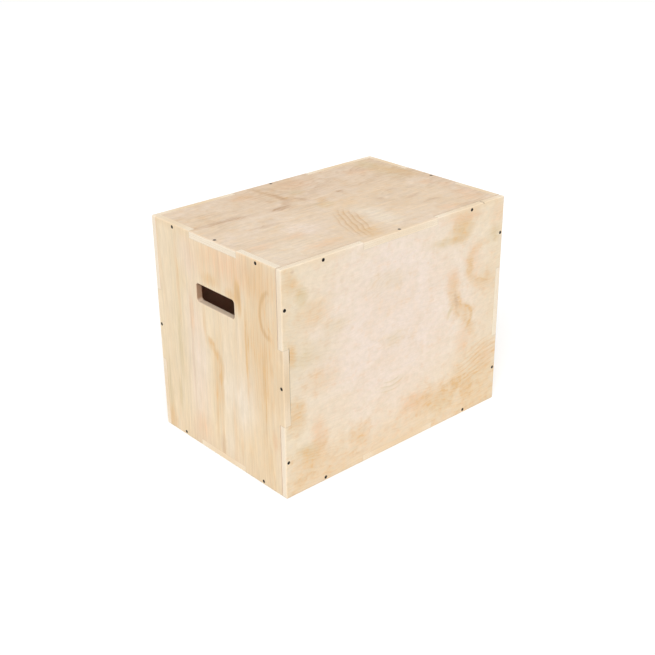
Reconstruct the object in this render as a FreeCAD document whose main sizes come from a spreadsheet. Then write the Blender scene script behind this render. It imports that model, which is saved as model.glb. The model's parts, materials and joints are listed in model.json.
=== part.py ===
import FreeCAD, Part
import os
import Sketcher

# A closed jump box of six plywood panels. Finger joints lock every edge, and countersunk wood screws
# draw the fingers down. The origin is the middle of the footprint: X runs along the length, Y along
# the width with the front at the low side, and Z up.

# Driving sizes in millimetres: name, value, meaning.
SIZES = (
    ("box_length", 760.0, "outside, along X"),
    ("box_width", 510.0, "outside, along Y"),
    ("box_height", 600.0, "outside, along Z"),
    ("ply_thickness", 18.0, "every panel"),
    ("long_tab", 253.0, "middle finger of the edges along X"),
    ("short_tab", 186.0, "middle finger of the edges along Y"),
    ("upright_tab", 200.0, "middle finger of the edges along Z"),
    ("finger_clearance", 0.3, "room at each side of a finger"),
    ("arris_radius", 3.5, "rounding of the box's outer edges"),
    ("hand_hole_length", 152.0, "across the end panel"),
    ("hand_hole_height", 49.0, "up the end panel"),
    ("hand_hole_drop", 155.0, "from the top of the box to the hole's middle"),
    ("hand_hole_corner", 8.0, "radius of the hole's corners"),
    ("hand_hole_rim", 2.5, "rounding of the hole's edges, inside and out"),
    ("screw_length", 45.0, "head to point"),
    ("screw_diameter", 4.5, "over the thread"),
    ("screw_head", 9.0, "diameter of the head"),
    ("screw_sink", 0.3, "how far the head lies below the face"),
    ("screw_point", 6.5, "length of the tapered point"),
    ("screw_clearance", 0.1, "room round the screw in its holes"),
    ("pilot_spare", 2.0, "pilot hole beyond the screw's point"),
    ("recess_span", 4.8, "across the arms of the cross recess"),
    ("recess_width", 1.2, "width of each arm"),
    ("recess_depth", 2.0, "depth of the cross recess"),
)

doc = FreeCAD.newDocument("plyo_box")
sheet = doc.addObject("Spreadsheet::Sheet", "Sizes")
for row, (alias, value, meaning) in enumerate(SIZES, start=1):
    sheet.set(f"A{row}", meaning)
    sheet.set(f"B{row}", str(value))
    sheet.setAlias(f"B{row}", alias)
doc.recompute()

# Formulas on the sheet. A panel is drawn about its own middle, with its outer face upwards.
LENGTH = "Sizes.box_length"
WIDTH = "Sizes.box_width"
HEIGHT = "Sizes.box_height"
PLY = "Sizes.ply_thickness"
HALF_PLY = f"{PLY} / 2"
INNER_LENGTH = f"({LENGTH} - 2 * {PLY})"
INNER_WIDTH = f"({WIDTH} - 2 * {PLY})"
INNER_HEIGHT = f"({HEIGHT} - 2 * {PLY})"

# A notch's rectangle is twice as deep as the ply, because it is centred on the panel's edge.
NOTCH_DEPTH = f"2 * {PLY}"
LONG_NOTCH = "Sizes.long_tab + 2 * Sizes.finger_clearance"
SHORT_NOTCH = "Sizes.short_tab + 2 * Sizes.finger_clearance"
UPRIGHT_NOTCH = "Sizes.upright_tab + 2 * Sizes.finger_clearance"
HAND_HOLE_RISE = f"{HEIGHT} / 2 - Sizes.hand_hole_drop"

# A screw stands half a thickness in from the edge, in the middle of its finger.
EDGE_X = f"({LENGTH} - {PLY}) / 2"
EDGE_Y = f"({WIDTH} - {PLY}) / 2"
EDGE_Z = f"({HEIGHT} - {PLY}) / 2"
LONG_FINGER = f"({LENGTH} + Sizes.long_tab) / 4"
UPRIGHT_FINGER = f"({HEIGHT} + Sizes.upright_tab) / 4"
SHORT_FINGER = f"({INNER_WIDTH} + Sizes.short_tab) / 4"

# The head's flanks stand at a right angle, so the head is as deep as it stands out past the thread.
RIGHT_ANGLE = 90.0
HEAD_DEPTH = "(Sizes.screw_head - Sizes.screw_diameter) / 2"
HOLE_DIAMETER = "Sizes.screw_diameter + 2 * Sizes.screw_clearance"
SINK_DIAMETER = "Sizes.screw_head + 2 * (Sizes.screw_sink + Sizes.screw_clearance)"
PILOT_DEPTH = f"Sizes.screw_length + Sizes.screw_sink + Sizes.pilot_spare - {PLY}"
HEAD_LEVEL = f"{HALF_PLY} - Sizes.screw_sink"

# Screws of one quarter of a panel at formulas along and up from its middle, or on its middle line.
LONG_SCREWS = ((LONG_FINGER, EDGE_Z), (EDGE_X, UPRIGHT_FINGER))
END_SCREWS = ((SHORT_FINGER, EDGE_Z), (EDGE_Y, None))
LEVEL_SCREWS = ((EDGE_X, None), (None, EDGE_Y))

# Two corner points closer than this are one.
SAME_PLACE = 1e-4

ORIGIN = FreeCAD.Vector(0, 0, 0)
ALONG_X = FreeCAD.Vector(1, 0, 0)
ALONG_Z = FreeCAD.Vector(0, 0, 1)


def new_body(label):
    """An empty body with its label."""
    body = doc.addObject("PartDesign::Body", label)
    body.Label = label
    return body


def datum(body, role):
    """One of a body's own origin planes or axes."""
    return next(item for item in body.Origin.OriginFeatures if item.Role == role)


def new_sketch(body, name, role, offset=None):
    """A sketch on an origin plane, or lifted off it by a formula."""
    sketch = body.newObject("Sketcher::SketchObject", f"{body.Label}_{name}")
    sketch.AttachmentSupport = [(datum(body, role), "")]
    sketch.MapMode = "FlatFace"
    if offset:
        sketch.setExpression("AttachmentOffset.Base.z", offset)
    return sketch


def dimension(sketch, formula, *constraint):
    """A dimension of a sketch, bound to the sheet."""
    index = sketch.addConstraint(Sketcher.Constraint(*constraint, 1.0))
    sketch.setExpression(f"Constraints[{index}]", formula)


def place_point(sketch, geometry, vertex, along=None, up=None):
    """Hold a point at formulas from the sketch's origin, or on an axis where a formula is left out."""
    if along:
        dimension(sketch, along, "DistanceX", -1, 1, geometry, vertex)
    else:
        sketch.addConstraint(Sketcher.Constraint("PointOnObject", geometry, vertex, -2))
    if up:
        dimension(sketch, up, "DistanceY", -1, 1, geometry, vertex)
    else:
        sketch.addConstraint(Sketcher.Constraint("PointOnObject", geometry, vertex, -1))


def add_lines(sketch, corners):
    """A closed run of lines through corners, joined end to end."""
    for start, end in zip(corners, corners[1:] + corners[:1]):
        sketch.addGeometry(Part.LineSegment(FreeCAD.Vector(*start, 0), FreeCAD.Vector(*end, 0)))
    for line in range(len(corners)):
        sketch.addConstraint(Sketcher.Constraint("Coincident", line, 2, (line + 1) % len(corners), 1))


def rectangle(body, name, width, height, along=None, up=None, offset=None):
    """A sketch of one rectangle on the body's level plane, its middle at formulas along and up."""
    sketch = new_sketch(body, name, "XY_Plane", offset)
    add_lines(sketch, [(-1, -1), (1, -1), (1, 1), (-1, 1)])
    for side, level in enumerate(("Horizontal", "Vertical", "Horizontal", "Vertical")):
        sketch.addConstraint(Sketcher.Constraint(level, side))
    middle = sketch.addGeometry(Part.Point(ORIGIN), True)
    sketch.addConstraint(Sketcher.Constraint("Symmetric", 0, 1, 2, 1, middle, 1))
    place_point(sketch, middle, 1, along, up)
    dimension(sketch, width, "DistanceX", 0, 1, 0, 2)
    dimension(sketch, height, "DistanceY", 1, 1, 1, 2)
    return sketch


def recompute_cut(body, volume):
    """Work out a cut, and stop where it has left the body as large as it was."""
    doc.recompute()
    if not body.Shape.Volume < volume:
        raise RuntimeError(f"{body.Label}: a cut missed the solid")


def slab(body, name, width, height):
    """A rectangle as thick as the ply, half of it to each side of the panel's middle plane."""
    pad = body.newObject("PartDesign::Pad", f"{body.Label}_{name}")
    pad.Profile = rectangle(body, f"{name}_outline", width, height)
    pad.SideType = "Symmetric"
    pad.setExpression("Length", PLY)
    doc.recompute()


def cutout(body, name, width, height, along=None, up=None, offset=HALF_PLY, depth=PLY):
    """A rectangle cut down from a level, right through a panel where no other depth is given."""
    volume = body.Shape.Volume
    pocket = body.newObject("PartDesign::Pocket", f"{body.Label}_{name}")
    pocket.Profile = rectangle(body, f"{name}_outline", width, height, along, up, offset)
    pocket.setExpression("Length", depth)
    recompute_cut(body, volume)
    return pocket


def mirror(body, cut, along, up):
    """Repeat a cut across the body's middle, along it, up it or both."""
    roles = [role for wanted, role in ((along, "YZ_Plane"), (up, "XZ_Plane")) if wanted]
    volume = body.Shape.Volume
    copies = body.newObject("PartDesign::MultiTransform", f"{cut.Name}_mirrors")
    steps = []
    for role in roles:
        step = doc.addObject("PartDesign::Mirrored", f"{cut.Name}_{role}")
        step.MirrorPlane = (datum(body, role), [""])
        steps.append(step)
    copies.Originals = [cut]
    copies.Transformations = steps
    body.Tip = copies
    recompute_cut(body, volume)


def new_hole(body, name, role, along, up, offset):
    """A drilled hole, as wide as the screw's thread needs, square into a plane."""
    sketch = new_sketch(body, f"{name}_place", role, offset)
    ring = sketch.addGeometry(Part.Circle(ORIGIN, ALONG_Z, 1))
    place_point(sketch, ring, 3, along, up)
    dimension(sketch, HOLE_DIAMETER, "Diameter", ring)
    doc.recompute()
    hole = body.newObject("PartDesign::Hole", f"{body.Label}_{name}")
    hole.Profile = sketch
    hole.ThreadType = "None"
    hole.DrillPoint = "Flat"
    hole.setExpression("Diameter", HOLE_DIAMETER)
    return hole


def screw_holes(body, places):
    """Countersunk through holes in the panel's outer face, in all its quarters."""
    for number, (along, up) in enumerate(places, start=1):
        volume = body.Shape.Volume
        hole = new_hole(body, f"screw_hole_{number}", "XY_Plane", along, up, HALF_PLY)
        hole.DepthType = "ThroughAll"
        hole.HoleCutType = "Countersink"
        hole.HoleCutCustomValues = True
        hole.HoleCutCountersinkAngle = RIGHT_ANGLE
        hole.setExpression("HoleCutDiameter", SINK_DIAMETER)
        recompute_cut(body, volume)
        mirror(body, hole, along, up)


def pilot_holes(body, edge, along, offset):
    """Blind holes for a neighbour's screws in two opposite edges, on the middle line or to both sides."""
    volume = body.Shape.Volume
    role = {"level": "XZ_Plane", "upright": "YZ_Plane"}[edge]
    hole = new_hole(body, f"{edge}_pilot", role, along, None, offset)
    hole.DepthType = "Dimension"
    hole.setExpression("Depth", PILOT_DEPTH)
    recompute_cut(body, volume)
    mirror(body, hole, along or edge == "upright", along or edge == "level")


def same(first, second):
    """True where two lengths are the same."""
    return abs(first - second) < SAME_PLACE


def fillet(body, name, wanted, radius):
    """Round the edges of a body whose end points are all wanted."""
    last = body.Tip
    edges = [f"Edge{number}" for number, edge in enumerate(last.Shape.Edges, start=1)
             if wanted([vertex.Point for vertex in edge.Vertexes])]
    rounding = body.newObject("PartDesign::Fillet", f"{body.Label}_{name}")
    rounding.Base = (last, edges)
    rounding.setExpression("Radius", radius)
    doc.recompute()


def round_arrises(body):
    """Round the panel's stretches of the box's outer edges: on its outer face, and at its corners."""
    reach = body.Tip.Shape.BoundBox

    def on_arris(ends):
        along = all(same(abs(point.x), reach.XMax) for point in ends)
        up = all(same(abs(point.y), reach.YMax) for point in ends)
        outside = all(same(point.z, reach.ZMax) for point in ends)
        return outside and (along or up) or along and up and not outside

    fillet(body, "arrises", on_arris, "Sizes.arris_radius")


def hand_hole(body):
    """A slot with round corners below the top edge, its rims eased inside and out."""
    cutout(body, "hand_hole", "Sizes.hand_hole_length", "Sizes.hand_hole_height", up=HAND_HOLE_RISE)
    side = sheet.hand_hole_length / 2
    rise = sheet.hand_hole_height / 2
    middle = sheet.box_height / 2 - sheet.hand_hole_drop
    face = sheet.ply_thickness / 2

    def within(point):
        return abs(point.x) < side + SAME_PLACE and abs(point.y - middle) < rise + SAME_PLACE

    def on_corner(ends):
        return all(within(point) for point in ends) and not same(ends[0].z, ends[-1].z)

    def on_rim(ends):
        return all(within(point) and same(abs(point.z), face) for point in ends)

    fillet(body, "hand_hole_corners", on_corner, "Sizes.hand_hole_corner")
    fillet(body, "hand_hole_rims", on_rim, "Sizes.hand_hole_rim")


def notches(body, name, width, height, along=None, up=None):
    """Two notches, each in the middle of an edge, opposite one another."""
    notch = cutout(body, name, width, height, along, up)
    mirror(body, notch, along, up)


def long_panel(label):
    """Front or back: it holds all the corners, and each edge is notched in the middle."""
    body = new_body(label)
    slab(body, "sheet", LENGTH, HEIGHT)
    round_arrises(body)
    notches(body, "level_notch", LONG_NOTCH, NOTCH_DEPTH, up=f"{HEIGHT} / 2")
    notches(body, "upright_notch", NOTCH_DEPTH, UPRIGHT_NOTCH, along=f"{LENGTH} / 2")
    screw_holes(body, LONG_SCREWS)
    pilot_holes(body, "level", None, f"{INNER_HEIGHT} / 2")
    pilot_holes(body, "upright", None, f"{INNER_LENGTH} / 2")
    return body


def end_panel(label):
    """Left or right: it fits between the long panels, with a tab through each and a hand hole."""
    body = new_body(label)
    slab(body, "sheet", INNER_WIDTH, HEIGHT)
    slab(body, "tabs", WIDTH, "Sizes.upright_tab")
    round_arrises(body)
    notches(body, "level_notch", SHORT_NOTCH, NOTCH_DEPTH, up=f"{HEIGHT} / 2")
    hand_hole(body)
    screw_holes(body, END_SCREWS)
    pilot_holes(body, "level", None, f"{INNER_HEIGHT} / 2")
    pilot_holes(body, "upright", UPRIGHT_FINGER, f"{INNER_WIDTH} / 2")
    return body


def level_panel(label):
    """Top or bottom: it fits inside the other four, with a tab through each."""
    body = new_body(label)
    slab(body, "sheet", INNER_LENGTH, INNER_WIDTH)
    slab(body, "end_tabs", LENGTH, "Sizes.short_tab")
    slab(body, "long_tabs", "Sizes.long_tab", WIDTH)
    round_arrises(body)
    screw_holes(body, LEVEL_SCREWS)
    pilot_holes(body, "level", LONG_FINGER, f"{INNER_WIDTH} / 2")
    pilot_holes(body, "upright", SHORT_FINGER, f"{INNER_LENGTH} / 2")
    return body


def wood_screw(label):
    """A countersunk screw, its head's face at the origin and its point straight down."""
    body = new_body(label)
    head = sheet.screw_head / 2
    thread = sheet.screw_diameter / 2
    point = -sheet.screw_length
    outline = new_sketch(body, "outline", "XZ_Plane")
    add_lines(outline, [(0, 0), (head, 0), (thread, thread - head), (thread, point + sheet.screw_point),
                        (0, point)])
    outline.addConstraint(Sketcher.Constraint("Coincident", 0, 1, -1, 1))
    outline.addConstraint(Sketcher.Constraint("Horizontal", 0))
    outline.addConstraint(Sketcher.Constraint("Vertical", 2))
    outline.addConstraint(Sketcher.Constraint("Vertical", 4))
    dimension(outline, "Sizes.screw_head / 2", "DistanceX", 0, 1, 0, 2)
    dimension(outline, "Sizes.screw_diameter / 2", "DistanceX", 0, 1, 1, 2)
    dimension(outline, HEAD_DEPTH, "DistanceY", 1, 2, 0, 1)
    dimension(outline, "Sizes.screw_point", "DistanceY", 3, 2, 3, 1)
    dimension(outline, "Sizes.screw_length", "DistanceY", 4, 1, 4, 2)
    turned = body.newObject("PartDesign::Revolution", f"{label}_turned")
    turned.Profile = outline
    turned.ReferenceAxis = (outline, ["V_Axis"])
    doc.recompute()
    slot = cutout(body, "recess", "Sizes.recess_span", "Sizes.recess_width",
                  offset=None, depth="Sizes.recess_depth")
    cross = body.newObject("PartDesign::PolarPattern", f"{label}_cross")
    cross.Originals = [slot]
    cross.Axis = (datum(body, "Z_Axis"), [""])
    cross.Angle = RIGHT_ANGLE
    cross.Occurrences = 2
    body.Tip = cross
    doc.recompute()
    return body


def fasten(panel, places):
    """One screw in each of a panel's screw holes, placed from the panel's own place."""
    screws = []
    for along, up in places:
        for side in (-1, 1) if along else (0,):
            for rise in (-1, 1) if up else (0,):
                screw = wood_screw(f"{panel.Label}_screw_{len(screws) + 1}")
                spot = f"vector({side} * ({along or 0}); {rise} * ({up or 0}); {HEAD_LEVEL})"
                shift = f"placement({spot}; rotation(0; 0; 0))"
                screw.setExpression("Placement", f"{panel.Name}.Placement * {shift}")
                screws.append(screw)
    return screws


# How a panel's outer face is turned from facing up.
FACING_UP = FreeCAD.Rotation()
FACING_FRONT = FreeCAD.Rotation(ALONG_X, RIGHT_ANGLE)
FACING_RIGHT = FreeCAD.Rotation(ALONG_Z, RIGHT_ANGLE) * FACING_FRONT
FACING_BACK = FreeCAD.Rotation(ALONG_Z, RIGHT_ANGLE) * FACING_RIGHT
FACING_LEFT = FreeCAD.Rotation(ALONG_Z, RIGHT_ANGLE) * FACING_BACK
FACING_DOWN = FreeCAD.Rotation(ALONG_X, RIGHT_ANGLE) * FACING_FRONT

# Each panel by its label: its maker, its screws, its facing and the formulas of its middle.
PANELS = (
    ("front_panel", long_panel, LONG_SCREWS, FACING_FRONT, ("0", f"-{EDGE_Y}", f"{HEIGHT} / 2")),
    ("back_panel", long_panel, LONG_SCREWS, FACING_BACK, ("0", EDGE_Y, f"{HEIGHT} / 2")),
    ("left_end_panel", end_panel, END_SCREWS, FACING_LEFT, (f"-{EDGE_X}", "0", f"{HEIGHT} / 2")),
    ("right_end_panel", end_panel, END_SCREWS, FACING_RIGHT, (EDGE_X, "0", f"{HEIGHT} / 2")),
    ("top_panel", level_panel, LEVEL_SCREWS, FACING_UP, ("0", "0", f"{HEIGHT} - {HALF_PLY}")),
    ("bottom_panel", level_panel, LEVEL_SCREWS, FACING_DOWN, ("0", "0", HALF_PLY)),
)

pieces = []
for label, maker, places, facing, middle in PANELS:
    panel = maker(label)
    panel.Placement.Rotation = facing
    for axis, formula in zip("xyz", middle):
        panel.setExpression(f"Placement.Base.{axis}", formula)
    pieces += [panel] + fasten(panel, places)
doc.recompute()

for item in doc.Objects:
    if "Invalid" in item.State or "Error" in item.State:
        raise RuntimeError(f"{item.Label} failed: {item.State}")
for piece in pieces:
    if piece.Shape.isNull() or not piece.Shape.isValid():
        raise RuntimeError(f"{piece.Label} has no valid shape")

os.makedirs("parts", exist_ok=True)
for piece in pieces:
    piece.Shape.exportStep(f"parts/{piece.Label}.step")
print(f"{len(pieces)} pieces written")
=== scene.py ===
"""Looks of a plyo box: six plywood panels locked by finger joints and drawn up with black wood screws."""

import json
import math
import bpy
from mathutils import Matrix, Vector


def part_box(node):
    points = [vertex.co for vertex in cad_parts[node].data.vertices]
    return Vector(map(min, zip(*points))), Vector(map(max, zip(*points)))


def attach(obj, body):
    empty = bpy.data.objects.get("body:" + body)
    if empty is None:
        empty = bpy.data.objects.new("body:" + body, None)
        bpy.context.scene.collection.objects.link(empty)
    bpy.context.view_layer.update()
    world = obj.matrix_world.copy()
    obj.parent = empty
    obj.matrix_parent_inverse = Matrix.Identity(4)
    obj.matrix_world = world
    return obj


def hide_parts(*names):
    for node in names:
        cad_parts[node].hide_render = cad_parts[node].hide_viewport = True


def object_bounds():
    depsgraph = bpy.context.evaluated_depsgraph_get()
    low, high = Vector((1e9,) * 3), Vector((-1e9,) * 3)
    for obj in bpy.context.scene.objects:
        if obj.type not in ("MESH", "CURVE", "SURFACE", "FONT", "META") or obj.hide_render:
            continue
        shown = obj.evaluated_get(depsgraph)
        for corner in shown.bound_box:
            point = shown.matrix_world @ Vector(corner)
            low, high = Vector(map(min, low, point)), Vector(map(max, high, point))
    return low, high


bl_info = {
    "name": "Plyo Box",
    "version": (1, 0, 0),
    "blender": (4, 5, 0),
    "location": "View3D > Sidebar > Plyo Box",
    "description": "Dresses a finger-jointed plywood jump box, makes its screws and sets up its studio",
    "category": "Object",
}

from collections import namedtuple

import bpy
import numpy as np
from mathutils import Color, Matrix, Vector

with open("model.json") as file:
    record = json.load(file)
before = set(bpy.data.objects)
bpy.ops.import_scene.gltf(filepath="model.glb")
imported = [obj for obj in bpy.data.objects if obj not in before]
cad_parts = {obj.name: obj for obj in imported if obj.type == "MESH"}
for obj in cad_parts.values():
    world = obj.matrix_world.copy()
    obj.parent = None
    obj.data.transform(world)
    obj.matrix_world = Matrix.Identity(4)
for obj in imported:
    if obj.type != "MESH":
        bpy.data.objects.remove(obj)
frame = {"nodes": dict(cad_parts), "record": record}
cad_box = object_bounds()

BODY = "root"

X = Vector((1, 0, 0))
Y = Vector((0, 1, 0))
Z = Vector((0, 0, 1))

LONG_PANELS = ("front_panel", "back_panel")
END_PANELS = ("left_end_panel", "right_end_panel")
LEVEL_PANELS = ("top_panel", "bottom_panel")

# How each panel is faced from outside: the directions that lie to the right, upwards and towards the viewer
Facing = namedtuple("Facing", "right up out")
FACINGS = {
    "front_panel": Facing(X, Z, -Y),
    "back_panel": Facing(-X, Z, Y),
    "left_end_panel": Facing(-Y, Z, -X),
    "right_end_panel": Facing(Y, Z, X),
    "top_panel": Facing(X, Y, Z),
    "bottom_panel": Facing(X, -Y, -Z),
}

# The finger joints round a panel's face: the setting that holds the length of the middle finger on its level
# and on its upright edges, and whether that finger is the panel's own tab or a neighbour's in its notch
Joint = namedtuple("Joint", "level_finger level_own upright_finger upright_own")
JOINTS = {
    **dict.fromkeys(LONG_PANELS, Joint("long_finger", False, "upright_finger", False)),
    **dict.fromkeys(END_PANELS, Joint("short_finger", False, "upright_finger", True)),
    **dict.fromkeys(LEVEL_PANELS, Joint("long_finger", True, "short_finger", True)),
}

# The noises: cells in one unit of the place that is read, octaves, and how strong each finer octave is
NOISES = {
    "stray": (6, 5, 0.6),
    "ease": (3, 1, 0.5),
    "mottle": (9, 6, 0.62),
    "fleck": (15, 4, 0.7),
    "roll": (1, 1.5, 0.5),
    "ripple": (7, 4, 0.6),
    "patchy": (1.9, 2, 0.5),
    "swing": (5, 2, 0.5),
    "bunch": (3.1, 2, 0.5),
    "cloud": (1.7, 5, 0.6),
    "dull": (13, 4, 0.6),
    "seam_shadow_patches": (45, 2, 0.5),
    "ply_wave": (30, 1, 0.5),
    "fibre": (1, 2, 0.5),
    "streak": (0.16, 2, 0.5),
    "pore": (0.45, 1, 0.5),
    "phosphate": (900, 3, 0.5),
    "rub": (260, 2, 0.5),
    "speckle": (60, 3, 0.5),
}
NOISE_MEAN = 0.5

# Values between which a noise, a slope or a place among the plies rises from nothing to full
RISES = {
    "patchy": (0.36, 0.66),
    "bunch": (0.45, 0.70),
    "warm_cloud": (0.45, 0.75),
    "cool_cloud": (0.55, 0.30),
    "warm_mottle": (0.48, 0.75),
    "cool_mottle": (0.52, 0.28),
    "dull": (0.52, 0.78),
    "stroke_side": (0.10, 0.60),
    "pore": (0.66, 0.78),
    "level": (0.25, 0.95),
    "end_grain": (0.40, 0.90),
    "inner_ply": (0.25, 0.50),
    "rub": (0.52, 0.72),
}

# Colours of the marks and figure in a face veneer, in the order in which they are laid over its tone
FACE_COLOURS = ("pale", "rose", "olive", "blush", "amber", "umber")

# The figure of one panel's face veneer. Tone names the setting of its colour, grain is 0 where it runs level
# and 1 where it runs upright, and draw is how much longer its patches are along the grain than across it.
# Rings count the year rings met in a metre across the grain, sway is how many rings they wander by at most,
# and line names the colour of their late wood. Figure, cloud, mottle, streak and hair are how strongly the
# rings, the broad patches, the small patches, the straight fibres and the fine growth lines show. Seed sets
# its noises apart from those of the other panels.
Veneer = namedtuple("Veneer", "tone grain draw rings sway line figure cloud mottle streak hair seed")
VENEERS = {
    "front_panel": Veneer("front_tone", 0, 1.2, 4.0, 4.8, "amber", 0.12, 0.16, 0.28, 0.15, 0.4, 3.0),
    "back_panel": Veneer("front_tone", 0, 1.5, 5.0, 5.2, "amber", 0.25, 0.35, 0.35, 0.25, 1.0, 11.0),
    "left_end_panel": Veneer("end_tone", 1, 4.5, 9.0, 2.6, "amber", 0.20, 0.16, 0.14, 0.45, 0.6, 23.0),
    "right_end_panel": Veneer("end_tone", 1, 4.0, 9.0, 2.8, "amber", 0.28, 0.24, 0.22, 0.50, 0.9, 37.0),
    "top_panel": Veneer("top_tone", 0, 1.3, 4.0, 5.2, "umber", 0.22, 0.22, 0.36, 0.60, 0.7, 41.0),
    "bottom_panel": Veneer("top_tone", 0, 1.6, 5.0, 5.6, "umber", 0.32, 0.40, 0.45, 0.30, 1.0, 59.0),
}

# Cells of a face veneer's noises in a metre across the grain, for a noise of scale 1
BROAD_RATE = 4.5

# How far marks stray on the rough and on the gentle ground, from side to side
STRAY_REACH = 0.030
EASE_REACH = 0.024

# Wander of a patch's edge as a share of its reach, and how much of that a stroke or a comb's line has
EDGE_WANDER = 0.8
LINE_WANDER = 0.6

# Share of a mark's reach within which it has its full strength
CORES = {"patch": 0.1, "comb": 0.5, "crack": 0.5, "swell": 0.0}

# Width of a stroke to each side, as a share of the mark's reach
STROKES = {"arc": 0.36, "hoop": 0.17}

# From one line of a comb to the next, and how many lines its ends bend by
COMB_PITCH = 0.0145
COMB_BEND = 0.9

# Year rings that their ripple moves them by, and how strong late wood is where it is faintest
RIPPLE_RINGS = 0.6
FAINTEST_LATE = 0.30

# Growth lines: lines in a metre across the grain and in a year ring, lines that they swing by, how fast that
# swing changes along the grain beside the other noises, and their average darkness
HAIR_RATE = 80.0
HAIR_PER_RING = 2.0
HAIR_SWING = 6.0
HAIR_DRAW = 0.35
HAIR_MEAN = 0.3

# Share of the late wood, the dull flecks and the bunched growth lines that turns olive
OLIVE_SHARES = {"late": 0.6, "dull": 0.7, "bunch": 0.25}

# Flecks break the colours up: the least share of a colour, and what a full fleck adds to it
FLECK_LEAST = 0.1
FLECK_GAIN = 1.8

# What lightens or darkens the finished colour of a face, and by how much
TONE_SHARES = {"fleck": 0.30, "mottle": 0.03, "hair": -0.02}

# Painted shadow along a joint where it is faintest, and what its patchy noise adds
SEAM_FAINTEST = 0.25
SEAM_GAIN = 1.5

# Breadth of the darkened wood round a hand hole, part soil from hands and part painted shade in the hole, and
# how much less a wall that faces up is darkened
HOLE_DARKENING_RIM = 0.005
LESS_DARKENED_UPWARDS = 0.6

# Waviness of the plies, and shares of a ply: the margin kept at both faces and the blend into the back veneer
PLY_WAVE = 0.0006
PLY_MARGIN = 0.02
PLY_BLEND = 0.1

# Fibres met in a metre along and across the grain, and how far they are shifted from ply to ply
FIBRE_ALONG = 40.0
FIBRE_ACROSS = 1100.0
FIBRE_SHIFTS = (3.7, 5.3)

# Strength of end grain where its fibre is faintest, and what a full fibre adds
END_GRAIN_FAINTEST = 0.35
END_GRAIN_GAIN = 0.9

# Share of a glue line's reach that is full of glue, and how strongly it shows
GLUE_CORE = 0.4
GLUE_SHARE = 0.35

# Wood: what shades it, what roughens it, how high its parts stand in metres, and its bump and gloss
SHADE_SHARES = {"fibre": 0.5, "pore": -0.2, "streak": 1.6}
WOOD_ROUGHNESS = 0.56
ROUGHNESS_SHARES = {"fibre": 0.10, "end": 0.15, "late": -0.06}
WOOD_HEIGHTS = {"fibre": 0.00004, "streak": 0.00006, "late": 0.00003, "pore": -0.00005, "glue": -0.00008}
WOOD_BUMP = 0.6
WOOD_SPECULAR = 0.35

# Phosphated steel: how bright a rub is, what roughens it, how high its mottle stands, and its bump and gloss
RUB_SHARE = 0.6
STEEL_ROUGHNESS = 0.55
STEEL_SHARES = {"mottle": 0.25, "rub": -0.1}
STEEL_HEIGHT = 0.00003
STEEL_BUMP = 0.5
STEEL_SPECULAR = 0.3

# Grid of a screw: columns around it, and rows over its face, its cone, its neck and one turn of its thread
SCREW_COLUMNS = 48
FACE_ROWS = 5
CONE_ROWS = 8
NECK_ROWS = 4
TURN_ROWS = 8

# Driver recess from its middle outwards, as shares of the cross's reach and depth, and how sharply the cross
# turns its corners
RECESS_REACH_SHARES = (0.30, 0.42, 0.50, 0.86, 0.95, 1.00, 1.05)
RECESS_DEPTH_SHARES = (1.00, 0.97, 0.88, 0.20, 0.06, 0.01, 0.00)
CORNER_POWER = 8.0

# Blunt rim of a screw's head, its draft and its depth, the clear ends of the neck, and the blunt tip
HEAD_RIM = 0.00015
RIM_DRAFT = 0.00003
RIM_DEPTH = 0.00008
NECK_MARGIN = 0.0004
BLUNT_TIP = 0.0001

# Steepness of the thread: at 1 its ridge would fill the whole pitch
THREAD_STEEPNESS = 2.2

# Floor: columns and rings of its grid, clearance under the box, where it fades to white, and roughness
FLOOR_COLUMNS = 64
FLOOR_RING_SHARES = (0.05, 0.2, 0.5, 1.0)
FLOOR_CLEARANCE = 0.0003
FADE_SHARES = (0.15, 0.6)
FLOOR_ROUGHNESS = 0.6
SPECKLE_ROUGHNESS = 0.2

# A mark in a face veneer, seen from outside: how far its middle lies from the face's left and top edge and
# how far it reaches each way, all in millimetres, how strong it is, and its turn in degrees
Mark = namedtuple("Mark", "right down wide tall strength turn", defaults=[0])
MILLIMETRE = 0.001
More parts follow.
